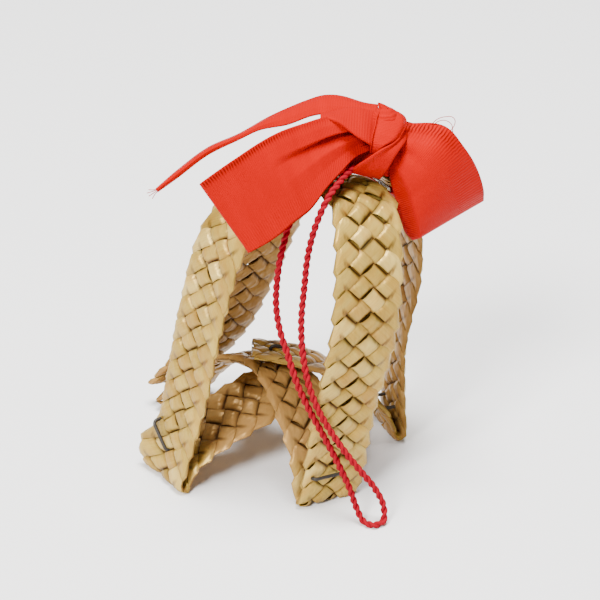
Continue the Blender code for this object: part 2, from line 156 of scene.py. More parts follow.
def add_piece(name, points, faces, finish, values=None, maps=None):
    """An object of points in millimetres, with values and flat maps kept on its points."""
    mesh = bpy.data.meshes.new(name)
    mesh.from_pydata(((np.asarray(points) - BOX_MIDDLE) * MM).tolist(), [], faces)
    for key, numbers in (values or {}).items():
        layer = mesh.attributes.new(key, "FLOAT", "POINT")
        layer.data.foreach_set("value", np.asarray(numbers, np.float32))
    corners = np.empty(len(mesh.loops), int)
    mesh.loops.foreach_get("vertex_index", corners)
    for key, places in (maps or {}).items():
        layer = mesh.uv_layers.new(name=key)
        layer.data.foreach_set("uv", np.asarray(places, np.float32)[corners].ravel())
    mesh.materials.append(finish)
    mesh.shade_smooth()
    piece = bpy.data.objects.new(name, mesh)
    bpy.context.scene.collection.objects.link(piece)
    return piece


def add_node(material, kind, settings=None, **links):
    """A node with its settings and its inputs: each link is another node's output or a plain value."""
    node = material.node_tree.nodes.new(kind)
    for key, value in (settings or {}).items():
        setattr(node, key, value)
    for key, value in links.items():
        socket = node.inputs[int(key[1:])] if key[0] == "i" and key[1:].isdigit() else node.inputs[
            key.replace("_", " ")]
        if isinstance(value, bpy.types.NodeSocket):
            material.node_tree.links.new(value, socket)
        else:
            socket.default_value = value
    return node


def new_material(name):
    """A new material and its shader."""
    material = bpy.data.materials.new(name)
    material.use_nodes = True
    return material, material.node_tree.nodes["Principled BSDF"]


def kept_value(material, name):
    """A value that the piece keeps on its points."""
    return add_node(material, "ShaderNodeAttribute", {"attribute_name": name}).outputs["Fac"]


def flat_map(material, name):
    """A flat map of the piece, in millimetres."""
    return add_node(material, "ShaderNodeUVMap", {"uv_map": name}).outputs["UV"]


def mixed(material, share, low, high, blend="MIX"):
    """A colour between two others by a share, or the first one multiplied by the second."""
    return add_node(material, "ShaderNodeMix", {"data_type": "RGBA", "blend_type": blend},
                    i0=share, i6=low, i7=high).outputs[2]


def stretched_noise(material, place, scale, detail, **settings):
    """Noise over a flat map, with its own number of patches in a millimetre along and across."""
    mapping = add_node(material, "ShaderNodeMapping", Vector=place, Scale=(*scale, 1.0))
    return add_node(material, "ShaderNodeTexNoise", Vector=mapping.outputs[0], Scale=1.0, Detail=detail,
                    **settings).outputs[0]


def twisted_cotton():
    """Dyed mercerised cotton, two plies spun from fine fibres: soft and dull, with painted shade in the
    valleys between the plies.
    """
    material, shader = new_material("twisted_dyed_cotton")
    # fibres are about 0.02 mm thick; they are drawn as streaks of 0.14 mm so that they show
    fibre = add_node(material, "ShaderNodeTexNoise", Vector=flat_map(material, "spun"), Scale=1.0, Detail=3.0)
    hue = mixed(material, fibre.outputs[0], linear("#7C0614"), linear("#A00E24"))
    # painted shade where the two plies press together
    shade = mixed(material, kept_value(material, "valley"), hue, linear("#6A0612"))
    bump = add_node(material, "ShaderNodeBump", Strength=0.5, Distance=0.00008, Height=fibre.outputs[0])
    links = material.node_tree.links
    links.new(shade, shader.inputs["Base Color"])
    links.new(bump.outputs[0], shader.inputs["Normal"])
    shader.inputs["Roughness"].default_value = 0.75
    shader.inputs["Specular IOR Level"].default_value = 0.2
    shader.inputs["Specular Tint"].default_value = linear("#FF5060")
    return material


def twisted_cord(name, route, finish):
    """Two plies wound round the route, with the route's points and its length."""
    dense, lengths = smooth(route)
    count = int(lengths[-1] / CORD_RING_STEP)
    places = np.linspace(0, lengths[-1], count + 1)
    line = along_curve(dense, lengths, places)
    slope = unit(np.gradient(line, axis=0))
    side = unit(np.cross(slope, NEVER_ALONG))
    lift = np.cross(slope, side)
    around = 2 * math.pi * np.arange(PLY_SIDES) / PLY_SIDES
    points, faces, valley, spun = [], [], [], []
    for ply in range(2):
        turn = 2 * math.pi * places / CORD_LAY + math.pi * ply
        out = side * np.cos(turn)[:, None] + lift * np.sin(turn)[:, None]
        ring = rings_round(line + out * PLY_CENTRE, out, np.cross(slope, out), PLY_RADIUS, PLY_SIDES)
        faces += tube_faces(count + 1, PLY_SIDES, first=len(points))
        points += ring.reshape(-1, 3).tolist()
        # painted shade on each ply's side that faces the other ply
        valley += np.tile(np.clip(-np.cos(around), 0, 1) ** 1.5 * VALLEY_SHADE, count + 1).tolist()
        wound = around[None, :] * FIBRES_AROUND + places[:, None] * FIBRE_TWIST
        drawn = np.repeat(places[:, None] * FIBRE_LENGTHS + PLY_MAP_GAP * ply, PLY_SIDES, 1)
        spun += np.stack([wound, drawn], -1).reshape(-1, 2).tolist()
    points = np.array(points)
    points[:, 2] = np.maximum(points[:, 2], SURFACE_GAP)
    return add_piece(name, points, faces, finish, {"valley": valley}, {"spun": spun}), line, lengths[-1]


cord, cord_line, cord_length = twisted_cord("twisted_hanging_cord", CORD_ROUTE, twisted_cotton())
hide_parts("hanging_cord")
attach(cord, "root")


# ---------------------------------------------------------------- plaited straw bands
# Flat dried straw, five strands to a plait. Each strand runs slantwise from edge to edge, passes over and
# under its neighbours, and is folded flat at each edge. The two bands are folded again at the feet.

PLAIT_WIDTH = 17.0
STRANDS = 5
CELL = PLAIT_WIDTH / STRANDS
HALF_ROW = 2.95
STRAW_THICKNESS = 0.30
LAYER_HEIGHT = 0.72
STRAND_FULLNESS = 1.03
RINGS_PER_CELL = 12
# places across a strand, from side to side
ACROSS = np.array([-1.0, -0.88, -0.5, 0.0, 0.5, 0.88, 1.0])
# heights of a strand's middle on its way from edge to edge: under, over, under, over
TOP_HALF = 0.22
LEVEL_PLACES = [0, 1 - TOP_HALF, 1 + TOP_HALF, 2 - TOP_HALF, 2 + TOP_HALF, 3 - TOP_HALF, 3 + TOP_HALF,
                4 - TOP_HALF, 4 + TOP_HALF, 5]
LEVEL_HEIGHTS = [-0.5, -1, -1, 1, 1, -1, -1, 1, 1, 0.5]
TIGHTNESS = 0.08
SLANT_REACH = 0.8
STRAW_CROWN = 0.13
EDGE_CURL = 0.24
EDGE_THINNING = 0.45
RAISED_SIDE = 0.16
# how differently the cells and the cut ends lie
MAX_LIFT = 0.20
MAX_TILT = 0.18
FULLER = (-0.07, 0.08)
MAX_SHIFT = 0.12
CUT_UNEVENNESS = 0.8
END_MARGIN = 0.05
# the fold at the band's edge: its width in cells, and how far it stands out across the strand
FOLD_WIDTH = 0.22
FOLD_EASE = 0.3
FOLD_PLACES = [-1.0, 0.5, 1.0]
FOLD_REACHES = [-0.40, 0.52, -0.36]
# painted shade: where a strand dips under another, along its sides, and clear of the folds
GAP_SHADE_REACH = 0.32
RIM_FROM = 0.8
RIM_SHADE = 0.42
CLEAR_FROM = 0.45
CLEAR_REACH = 0.3
# painted shade inside the bell: on the band's inward side, and on the struts in it
BELL_AXIS = np.array([2.0, 0.0, 0.0])
INNER_GAIN = 1.6
STRUT_REACH = 25.0
STRUT_FADE = 5.0
STRUT_TOP = 28.0
MOST_INNER_SHADE = 0.8
# the straws' flat maps lie apart, so that no two look alike
STRAND_MAP_GAP = 37
RUN_MAP_GAP = 11
MAP_NARROWING = 0.75
FRAME_STEP = 0.2
SHARP_FROM = math.radians(50)
FOLD_RADIUS = 1.35
FOLD_ANGLES = (0, 45, 90, 135, 180)
SOLE_CENTRE = 2.20
FLAP_WAY = np.array([-0.95, 0.31, 0.0])
FLAP_ROOT = 2.0
BACK_RIGHT_FOOT = (31.3, 12.6)
FRONT_LEFT_FOOT = (-25.75, -12.0)
FRONT_RIGHT_FOOT = (14.1, -21.0)


def fold(foot, heading, roll, side, flare=0.0):
    """Stations of a fold at a foot, from the strut up to the leg; the leg is on the side given, 1 or -1."""
    turn = math.radians(heading)
    outward = (-math.sin(turn) * side, math.cos(turn) * side)
    stations = []
    for angle in [math.radians(degrees) for degrees in FOLD_ANGLES]:
        reach = -math.cos(angle) * FOLD_RADIUS
        stations.append((foot[0] + outward[0] * reach, foot[1] + outward[1] * reach,
                         SOLE_CENTRE - math.sin(angle) * FOLD_RADIUS,
                         heading, roll, flare * abs(math.cos(angle))))
    return stations


# A station is x, y, z, the heading and roll of the strip's width in degrees, and its flap's reach.
PLAIT_A = (
    # the cut end on top of the hub, and the strut down to the back right foot
    [(-5.0, 3.9, 29.3, -88, 15, 0), (6.1, 4.5, 26.9, -83, 10, 0), (16.4, 6.7, 21.2, -77, 8, 0),
     (24.7, 9.7, 13.2, -74, 6, 0), (28.5, 11.3, 7.6, -72, 4, 0)]
    + fold(BACK_RIGHT_FOOT, -71.3, 3, 1)
    # the back right leg, the crown and the front left leg
    + [(32.2, 12.8, 9.0, -71, 2.5, 0), (31.6, 12.4, 28.3, -70, 1.8, 0), (34.3, 11.7, 51.2, -65, 1.2, 0),
       (31.2, 9.4, 70.0, -62, 1.7, 0), (18.8, 4.4, 82.0, -60, 0.8, 0), (2.8, -2.9, 80.4, -56, -0.5, 0),
       (-10.2, -7.7, 67.2, -51, -4, 0), (-16.4, -10.5, 47.5, -51, -3, 0),
       (-20.9, -11.7, 25.5, -52, -1.3, 0), (-24.0, -12.4, 13.5, -54, 0, 0),
       (-25.2, -12.6, 8.6, -55, 0, 3.0), (-26.3, -12.7, 4.6, -56, 0, 3.0)]
    + fold(FRONT_LEFT_FOOT, -57, -1, -1, flare=1.6)[::-1]
    # the strut up to the hub, under the other strip
    + [(-23.6, -10.8, 5.2, -59, -3, 3.0), (-19.6, -9.0, 9.4, -60, -8, 1.5),
       (-12.2, -6.0, 14.2, -58, -14, 0), (-4.6, -2.2, 17.3, -57, -16, 0), (3.0, 2.5, 19.6, -57, -15, 0)]
)
PLAIT_B = (
    # the back left leg from its cut end, the crown and the front right leg
    [(-26.5, 28.8, 5.4, 28.4, -5.5, 0), (-13.4, 21.0, 25.8, 28, -8.4, 0), (-5.0, 15.0, 46.8, 28.6, -8, 0),
     (2.6, 8.9, 65.8, 29, -6, 0), (12.7, 0.9, 77.4, 28, -4, 0), (22.0, -10.0, 77.2, 24, -5, 0),
     (23.6, -19.7, 66.4, 20, -6, 0), (22.6, -23.9, 48.1, 20.1, -5.8, 0),
     (18.1, -23.3, 26.1, 23.5, -4.6, 0), (15.9, -22.2, 9.0, 24.5, -3.5, 0)]
    + fold(FRONT_RIGHT_FOOT, 27, -3, -1)[::-1]
    # the strut up over the hub and down to the back left foot
    + [(12.8, -18.3, 9.0, 31, -5, 0), (8.5, -8.6, 18.4, 35, -9, 0), (1.1, 4.0, 24.7, 37.6, -13, 0),
       (-11.7, 16.6, 19.3, 38.3, -12, 0), (-20.2, 23.2, 9.8, 38.3, -10, 0), (-25.2, 26.9, 1.0, 38.3, -9, 0)]
)


def paler_ramp(material, value, low, colour, high):
    """A tint from a colour up to white, between two places of a value."""
    tint = add_node(material, "ShaderNodeValToRGB", Fac=value)
    first, last = tint.color_ramp.elements
    first.position, first.color = low, linear(colour)
    last.position, last.color = high, linear("#FFFFFF")
    return tint.outputs["Color"]


def dried_straw():
    """Split and flattened palm straw: a smooth waxy skin over long fibres, each strand its own shade."""
    material, shader = new_material("split_dried_straw")
    tones = add_node(material, "ShaderNodeValToRGB", Fac=kept_value(material, "tone"))
    stops = ((0.0, "#987E36"), (0.2, "#B89A4A"), (0.4, "#A48840"), (0.55, "#C0A250"), (0.7, "#A48440"),
             (0.85, "#CEB264"), (1.0, "#92783A"))
    ramp = tones.color_ramp
    while len(ramp.elements) < len(stops):
        ramp.elements.new(0.5)
    for element, (place, code) in zip(ramp.elements, stops):
        element.position = place
        element.color = linear(code)
    # vessels of the straw lie about 0.3 mm apart and run its whole length
    strand = flat_map(material, "strand")
    vessels = stretched_noise(material, strand, (0.09, 3.2), 4.0, Roughness=0.65)
    streaks = paler_ramp(material, vessels, 0.36, "#AC9868", 0.56)
    streaked = mixed(material, 0.20, tones.outputs["Color"], streaks, "MULTIPLY")
    # paler and warmer patches of a few millimetres
    patches = stretched_noise(material, strand, (0.16, 0.35), 2.0)
    patches = paler_ramp(material, patches, 0.35, "#E8CC9C", 0.62)
    patched = mixed(material, 0.5, streaked, patches, "MULTIPLY")
    # painted brown shade on some cells near where a strand dips under another, painted shade inside the bell,
    # and painted shade in the gaps where it goes under another strand
    # painted brown shade on some cells near where a strand dips under another
    dip_shaded = mixed(material, kept_value(material, "stain"), patched, linear("#94561A"))
    # the inner value is painted shade, duller and browner on the band's inward side and on the struts
    inner_shaded = mixed(material, kept_value(material, "inner"), dip_shaded, linear("#9E7442"))
    # painted shade, dark brown, in the gaps where a strand goes under its neighbour and along its sides
    depth = add_node(material, "ShaderNodeMath", {"operation": "POWER"}, i0=kept_value(material, "hidden"),
                     i1=1.1)
    gap_shaded = mixed(material, depth.outputs[0], inner_shaded, linear("#2E1608"))
    # each straw is dented a little every few millimetres
    dents = stretched_noise(material, strand, (0.40, 0.42), 1.0)
    dented = add_node(material, "ShaderNodeBump", Strength=1.0, Distance=0.0004, Height=dents)
    bump = add_node(material, "ShaderNodeBump", Strength=0.14, Distance=0.0001, Height=vessels,
                    Normal=dented.outputs[0])
    links = material.node_tree.links
    links.new(gap_shaded, shader.inputs["Base Color"])
    links.new(bump.outputs[0], shader.inputs["Normal"])
    shader.inputs["Roughness"].default_value = 0.32
    shader.inputs["Metallic"].default_value = 0.15
    shader.inputs["Specular IOR Level"].default_value = 0.22
    shader.inputs["Specular Tint"].default_value = linear("#FFE8B0")
    return material


def strip_frames(route):
    """Closely spaced centres, width directions and normals along a strip."""
    dense, lengths = smooth(route)
    places = np.arange(0, lengths[-1] + FRAME_STEP / 2, FRAME_STEP)
    rows = along_curve(dense, lengths, places)
    centre = rows[:, :3]
    slope = unit(np.gradient(centre, axis=0))
    heading, roll = np.radians(rows[:, 3]), np.radians(rows[:, 4])
    width = np.stack([np.cos(heading) * np.cos(roll), np.sin(heading) * np.cos(roll), np.sin(roll)], -1)
    normal = unit(np.cross(slope, width))
    return places, np.hstack([centre, width, normal, rows[:, 5:6]]), lengths[-1]


def round_strip(upper, lower=None):
    """Values round a thin strip: over its upper skin from side to side, and back along its lower one."""
    lower = upper if lower is None else lower
    return np.concatenate([upper, lower[:, ::-1]], axis=1)


def strand_course(strand, length):
    """Each ring of a strand: its place along the strand, its run, its place in that run, and the way it goes.

    Places are counted in cells. A run goes from one edge of the band to the other.
    """
    start = -2 * strand - 1.0
    count = int((length / HALF_ROW + 2) * RINGS_PER_CELL)
    along = start + np.arange(count + 1) / RINGS_PER_CELL
    run = np.floor(along / STRANDS).astype(int)
    # each ring lies along the strand it crosses, and square to its own strand only at the folds
    straight = along - run * STRANDS
    slant = np.clip(np.minimum(straight, STRANDS - straight) / SLANT_REACH, 0, 1) / 2
    inside = straight[:, None] - slant[:, None] * ACROSS
    # falling runs cross from left to right down the band, rising runs from right to left
    falling = np.where(run % 2 == 0, 1.0, -1.0)[:, None]
    return along, run, inside, falling


def strand_shape(strand, length, chance):
    """A strand before it is bent: places across, along and above the band, three shades and its flat map."""
    along, run, inside, falling = strand_course(strand, length)
    row = run[:, None] * STRANDS
    wave = inside + ACROSS / 2 + TIGHTNESS * falling
    # every run and every cell of it lies a little differently
    first = int(np.floor(along[0]))
    cell = np.clip(np.round(row + wave).astype(int) - first, 0, None)
    cells = cell.max() + 2
    lift = chance.uniform(0, MAX_LIFT, cells)
    tilt = chance.uniform(-MAX_TILT, MAX_TILT, cells)
    # painted brown shade near the dips, stronger on some cells than on others
    stain = chance.uniform(0.0, 1.0, cells) ** 2
    fuller = chance.uniform(*FULLER, cells)
    shift = chance.uniform(-MAX_SHIFT, MAX_SHIFT, cells)
    runs = run - run.min()
    run_tone = chance.uniform(0, 1, runs.max() + 1)
    cuts = chance.uniform(0, CUT_UNEVENNESS, 2)
    middles = np.arange(cells) + first
    fullness = STRAND_FULLNESS + np.interp(along, middles, fuller)[:, None]
    drift = np.interp(along, middles, shift)[:, None]
    # over and under its neighbours, crowned, and with one side raised on the next strand
    level = np.interp(wave, LEVEL_PLACES, LEVEL_HEIGHTS)
    near_fold = np.clip(np.minimum(inside, STRANDS - inside), 0, None)
    crowned = LAYER_HEIGHT + STRAW_CROWN - EDGE_CURL * ACROSS**2
    leaning = RAISED_SIDE * falling * ACROSS + lift[cell] + tilt[cell] * ACROSS
    height = np.clip(near_fold / FOLD_WIDTH, 0, 1) * (level * crowned + np.clip(level, 0, 1) * leaning)
    # folded flat at each edge
    going = np.where(falling > 0, inside, STRANDS - inside)
    outward = np.where(going < STRANDS / 2, -1.0, 1.0)
    standing_out = np.exp(-near_fold / FOLD_EASE) * np.interp(ACROSS, FOLD_PLACES, FOLD_REACHES)
    u = going * CELL + outward * standing_out - PLAIT_WIDTH / 2
    v = (2 * strand + row + inside + ACROSS * fullness + drift) * HALF_ROW
    kept = (v.max(axis=1) > END_MARGIN) & (v.min(axis=1) < length - END_MARGIN)
    v = np.clip(v, cuts[0], length - cuts[1])
    # painted shade where it goes under its neighbour, and a little painted shade along its sides
    dip = np.abs(wave - np.floor(wave) - 0.5) * 2
    clear = np.clip((near_fold - CLEAR_FROM) / CLEAR_REACH, 0, 1)
    under = np.clip(1 - dip / GAP_SHADE_REACH, 0, 1) * clear
    rim = np.clip((np.abs(ACROSS) - RIM_FROM) / (1 - RIM_FROM), 0, 1) * RIM_SHADE * clear
    tone = np.repeat(run_tone[runs][:, None], len(ACROSS), 1)
    flat = np.stack([(row + inside) * math.hypot(CELL, HALF_ROW) + STRAND_MAP_GAP * strand,
                     ACROSS * HALF_ROW * MAP_NARROWING + RUN_MAP_GAP * runs[:, None]], -1)
    return [part[kept] for part in (u, v, height, tone, np.maximum(under, rim), under * stain[cell], flat)]


def bent_skin(u, v, height, half, places, frames):
    """One skin of a strand, bent along the route, and how much painted shade it gets for being inside the
    bell.
    """
    where = along_curve(frames, places, v)
    centre, width, normal, flare = where[..., :3], where[..., 3:6], where[..., 6:9], where[..., 9]
    thin = half * (1 - EDGE_THINNING * np.abs(ACROSS) ** 6)
    flap = np.clip(-u - FLAP_ROOT, 0, None) / (PLAIT_WIDTH / 2 - FLAP_ROOT)
    spot = (centre + width * u[..., None] + normal * (height + thin)[..., None]
            + FLAP_WAY * (flare * flap)[..., None])
    radial = (spot - BELL_AXIS) * [1, 1, 0]
    facing = np.sign(half) * (normal * unit(radial)).sum(-1)
    strut = np.clip((STRUT_REACH - np.linalg.norm(radial, axis=-1)) / STRUT_FADE, 0, 1)
    strut = strut * (spot[..., 2] < STRUT_TOP)
    return spot, np.clip(np.maximum(-INNER_GAIN * facing, strut), 0, MOST_INNER_SHADE)


def plaited_band(name, route, seed, finish):
    """All strands of one plaited band, each a closed flat strip, bent along the route."""
    chance = np.random.default_rng(seed)
    places, frames, length = strip_frames(route)
    points, faces, strands = [], [], []
    looks = {"tone": [], "hidden": [], "stain": [], "inner": []}
    for strand in range(STRANDS):
        u, v, height, tone, hidden, stain, flat = strand_shape(strand, length, chance)
        upper, upper_inner_shade = bent_skin(u, v, height, STRAW_THICKNESS / 2, places, frames)
        lower, lower_inner_shade = bent_skin(u, v, height, -STRAW_THICKNESS / 2, places, frames)
        ring = round_strip(upper, lower)
        ring[..., 2] = np.maximum(ring[..., 2], 0.0)
        faces += tube_faces(len(ring), ring.shape[1], first=len(points))
        points += ring.reshape(-1, 3).tolist()
        looks["tone"] += round_strip(tone).ravel().tolist()
        looks["hidden"] += round_strip(hidden).ravel().tolist()
        looks["stain"] += round_strip(stain).ravel().tolist()
        looks["inner"] += round_strip(upper_inner_shade, lower_inner_shade).ravel().tolist()
        strands += round_strip(flat).reshape(-1, 2).tolist()
    piece = add_piece(name, points, faces, finish, looks, {"strand": strands})
    piece.data.set_sharp_from_angle(angle=SHARP_FROM)
    return piece


straw = dried_straw()
for name, route, seed, node in (("plaited_straw_first", PLAIT_A, 11, "straw_plait_a"),
                                ("plaited_straw_second", PLAIT_B, 23, "straw_plait_b")):
    band = plaited_band(name, route, seed, straw)
    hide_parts(node)
    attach(band, "root")


# ---------------------------------------------------------------- tie wires
# Thin dark annealed steel wire, pushed through both layers of a foot or of the hub and drawn tight round
# them. Each is made as one closed loop with rounded corners.

WIRE_RADIUS = 0.46
WIRE_BEND = 1.2
WIRE_SIDES = 10
WIRE_BEND_STEPS = 8
# each tie: its middle, the ways that it lies along and goes through the straw, its length and its depth
TIES = {
    "front_left": ((-25.0, -8.6, 12.0), (0.43, -0.55, -0.78), (-0.84, -0.54, 0.0), 8.4, 7.4),
    "front_right": ((13.0, -21.4, 9.0), (0.91, 0.41, 0.0), (0.41, -0.91, 0.05), 8.0, 7.8),
    "back_right": ((30.5, 12.1, 8.6), (0.32, -0.95, 0.0), (0.95, 0.32, 0.0), 7.0, 7.4),
    "back_left": ((-21.6, 25.0, 10.6), (0.84, 0.54, 0.0), (-0.5, 0.6, -0.62), 7.0, 8.4),
    "hub": ((1.0, 2.8, 23.9), (0.95, 0.1, -0.2), (0.2, 0.1, 0.97), 4.4, 12.6),
}


def annealed_wire():
    """Annealed steel wire with a dull dark scale, slightly browned."""
    material, shader = new_material("annealed_steel_wire")
    scale = add_node(material, "ShaderNodeTexNoise", Scale=900.0, Detail=3.0)
    hue = mixed(material, scale.outputs[0], linear("#14100C"), linear("#3A332A"))
    material.node_tree.links.new(hue, shader.inputs["Base Color"])
    shader.inputs["Metallic"].default_value = 0.3
    shader.inputs["Roughness"].default_value = 0.5
    return material


def wire_loop(name, tie, finish):
    """A closed loop of wire with four rounded corners."""
    middle, side, through, length, depth = [np.array(value, float) for value in tie]
    side = unit(side)
    through = unit(through - side * through.dot(side))
    across = np.cross(side, through)
    path = []
    for quarter, (sideways, inwards) in enumerate(((1, 1), (-1, 1), (-1, -1), (1, -1))):
        corner = side * sideways * (length / 2 - WIRE_BEND) + through * inwards * (depth / 2 - WIRE_BEND)
        for step in range(WIRE_BEND_STEPS + 1):
            angle = math.pi / 2 * (quarter + step / WIRE_BEND_STEPS)
            path.append(middle + corner + (side * math.cos(angle) + through * math.sin(angle)) * WIRE_BEND)
    path = np.array(path)
    slope = unit(np.roll(path, -1, axis=0) - np.roll(path, 1, axis=0))
    ring = rings_round(path, np.cross(slope, across), across[None], WIRE_RADIUS, WIRE_SIDES)
    faces = tube_faces(len(path), WIRE_SIDES, closed=True)
    return add_piece(name, ring.reshape(-1, 3), faces, finish)


wire = annealed_wire()
for place, tie in TIES.items():
    loop = wire_loop("tie_" + place, tie, wire)
    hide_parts("tie_wire_" + place)
    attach(loop, "root")


# ---------------------------------------------------------------- ribbon bow
# Woven taffeta ribbon with fine weft ribs, tied round the crown. The left loop and the right loop are
# folded back into the knot, one tail sweeps out over the left loop, and a short one hangs behind the right.

RIBBON_WIDTH = 20.0
RIBBON_THICKNESS = 0.22
# how far from its edge the weave starts to bunch up, and where it is bunched most
SELVEDGE = (3.4, 1.6)

# Guides run lengthwise, from the knot outwards.
LEFT_UPPER = [(26.0, 1.5, 95.1), (19.7, -2.4, 96.3), (14.0, -5.4, 96.8), (8.3, -9.4, 96.7),
              (3.0, -13.0, 96.2), (-1.7, -16.0, 94.7), (-6.5, -18.8, 92.4), (-10.8, -20.4, 89.9),
              (-15.0, -21.5, 87.1)]
LEFT_LOWER = [(23.8, -6.0, 88.3), (20.7, -8.0, 87.7), (17.8, -11.2, 86.1), (13.8, -15.4, 83.2),
              (9.8, -19.2, 79.3), (6.2, -21.6, 77.4), (3.0, -23.1, 75.1), (-0.2, -24.0, 73.0),
              (-3.9, -24.5, 71.0)]
RIGHT_OUTER = [(29.0, 1.0, 91.2), (32.4, 1.5, 92.1), (35.6, 1.2, 92.4), (38.7, 0.5, 92.7), (41.5, -0.6, 92.5),
               (43.4, -1.2, 91.4), (46.0, -1.6, 88.2), (48.6, -1.2, 84.3), (50.6, -0.4, 80.0),
               (52.0, 0.6, 75.2), (52.3, 2.0, 72.1)]
RIGHT_CREASE = [(29.1, -3.6, 88.6), (29.4, -5.9, 86.0), (30.4, -7.2, 84.5), (31.9, -8.4, 82.2),
                (33.2, -9.2, 79.6), (34.2, -9.6, 77.0), (35.0, -9.9, 74.3), (35.7, -10.1, 71.6),
                (36.2, -9.8, 67.9)]
RIGHT_INNER = [(28.6, -2.0, 86.6), (28.4, -3.4, 84.0), (28.8, -4.4, 81.4), (29.8, -5.6, 77.6),
               (30.8, -6.4, 74.2), (32.0, -6.9, 70.6), (33.2, -7.2, 67.4), (34.2, -7.4, 66.1)]
LONG_TAIL = (
    [(26.1, 3.0, 96.4), (22.9, 4.0, 96.5), (18.0, 5.5, 97.5), (15.4, 6.0, 97.7), (12.6, 6.0, 97.5),
     (9.1, 5.0, 96.7), (6.0, 4.0, 95.8), (0.1, 1.8, 93.8), (-7.1, -0.8, 90.5), (-14.4, -3.0, 87.9),
     (-21.7, -5.0, 82.9), (-26.8, -6.8, 78.9)],
    [(26.0, -1.0, 93.6), (22.8, -0.8, 94.5), (20.4, -1.0, 95.4), (16.9, -1.2, 95.8), (13.0, -1.5, 95.9),
     (9.9, -2.0, 95.5), (4.6, -3.2, 93.9), (-2.0, -3.4, 92.6), (-7.0, -4.6, 90.6), (-14.3, -6.0, 87.3),
     (-21.6, -7.4, 82.0), (-26.3, -8.4, 78.8)],
)
SHORT_TAIL = (
    [(28.5, 4.5, 92.0), (33.5, 8.0, 90.0), (39.0, 11.5, 86.0), (42.6, 13.0, 80.4)],
    [(28.5, 4.5, 87.0), (32.4, 10.5, 83.0), (35.6, 14.5, 78.0), (38.0, 17.0, 72.6)],
)
BACK_FOLD = (
    [(26.0, 1.6, 94.6), (22.9, 1.4, 95.6), (19.3, 1.2, 96.4), (15.8, 0.6, 96.2), (12.6, -0.6, 95.6)],
    [(26.0, 0.0, 94.8), (22.9, -0.8, 96.0), (19.3, -1.3, 96.8), (15.8, -1.9, 96.5), (12.3, -2.6, 96.2)],
    [(25.9, -6.5, 89.3), (23.8, -7.5, 91.2), (21.1, -7.5, 92.8), (19.1, -7.0, 94.1), (16.6, -6.0, 95.6),
     (14.1, -5.0, 96.1), (12.3, -4.0, 95.6)],
    [(25.9, -5.0, 88.5), (23.6, -5.6, 90.0), (21.3, -5.4, 91.4), (18.9, -4.6, 92.6), (16.2, -4.0, 93.8),
     (12.6, -3.0, 94.2)],
)
MAIN_WRAP = (
    [(27.4, 3.6, 94.0), (27.4, 1.4, 93.4), (26.9, -1.2, 92.6), (26.2, -3.4, 91.6), (25.6, -5.0, 90.6),
     (25.2, -5.8, 89.6), (25.0, -5.6, 88.4), (25.2, -5.0, 87.2)],
    [(26.0, 2.5, 97.0), (26.4, 0.5, 95.9), (25.7, -2.2, 95.1), (25.1, -5.0, 93.7), (24.5, -7.0, 92.3),
     (24.2, -8.0, 90.7), (24.0, -7.5, 88.7), (24.7, -6.0, 87.0)],
    [(28.9, 3.5, 95.1), (31.9, 1.0, 94.4), (32.3, -1.2, 93.4), (31.3, -4.0, 92.2), (29.6, -6.5, 91.0),
     (27.5, -8.0, 90.4), (25.8, -7.8, 88.8), (25.4, -6.0, 87.0)],
    [(29.4, 4.4, 93.4), (31.4, 2.6, 92.8), (32.0, 0.6, 91.8), (31.0, -2.4, 90.8), (29.4, -4.6, 89.8),
     (27.6, -6.0, 89.0), (26.2, -6.0, 87.8), (25.6, -5.0, 86.6)],
)
LOWER_WRAP = (
    [(31.2, 0.4, 92.2), (30.8, -1.6, 91.0), (29.2, -4.4, 89.2), (26.6, -6.4, 87.8), (23.8, -6.8, 85.8),
     (21.4, -6.4, 83.9), (20.4, -5.6, 82.2)],
    [(32.2, -1.0, 92.1), (31.6, -3.0, 91.4), (29.5, -6.8, 90.7), (26.2, -9.4, 89.8), (23.1, -9.2, 87.3),
     (20.6, -8.2, 84.9), (19.8, -6.6, 82.8)],
    [(32.9, -1.0, 90.3), (32.4, -3.6, 89.8), (30.7, -7.2, 89.1), (29.1, -9.0, 87.6), (28.0, -8.8, 85.5),
     (26.7, -7.2, 82.8), (26.1, -5.0, 80.7)],
    [(32.6, 0.4, 89.2), (31.8, -2.0, 88.2), (30.2, -5.0, 87.2), (28.8, -6.6, 85.6), (27.8, -6.4, 84.0),
     (26.8, -5.4, 82.2), (26.0, -4.2, 80.2)],
)
UNDER_FOLD = (
    [(15.6, -8.2, 86.8), (15.8, -7.8, 84.9), (16.6, -7.2, 83.1), (18.4, -6.4, 81.6)],
    [(17.6, -7.6, 88.0), (18.2, -7.4, 86.2), (19.2, -7.0, 84.6), (20.4, -6.6, 83.0)],
    [(20.6, -6.4, 89.0), (21.0, -5.8, 86.6), (21.6, -5.4, 84.8), (22.4, -5.2, 83.0)],
    [(25.6, -5.2, 90.0), (25.6, -5.0, 87.0), (25.4, -5.0, 84.6), (25.2, -5.0, 82.2)],
    [(29.8, -5.2, 88.4), (29.5, -4.8, 85.6), (29.0, -4.4, 83.2), (28.6, -4.2, 80.8)],
)
KNOT_MIDDLE = np.array([27.6, -0.2, 90.4])
KNOT_RADII = np.array([4.5, 4.8, 6.3])
# the left loop's grid, and the deep pleat that runs out of the knot and dies away before the fold
LEFT_SIZE = (90, 60)
PLEAT_PLACE = (0.34, 0.22)
PLEAT_WIDTH = 0.10
PLEAT_REACH = 0.66
PLEAT_TUCK = 0.05
PLEAT_RISE = 1.5
PLEAT_FALL = 2.2
PLEAT_ROUNDING = 0.8
PLEAT_SHOULDER = 0.8
# beyond the pleat the ribbon swells and then dips: places across, and by how much
SWELL_AFTER = 0.32
DIP_PLACE = 0.78
SWELL = 0.5
LEFT_BELLY = 0.9
LEFT_RIPPLE = 0.25
LEFT_WAVES = (9, 4)
HEM_LIFT = 0.7
HEM_WIDTH = 0.045
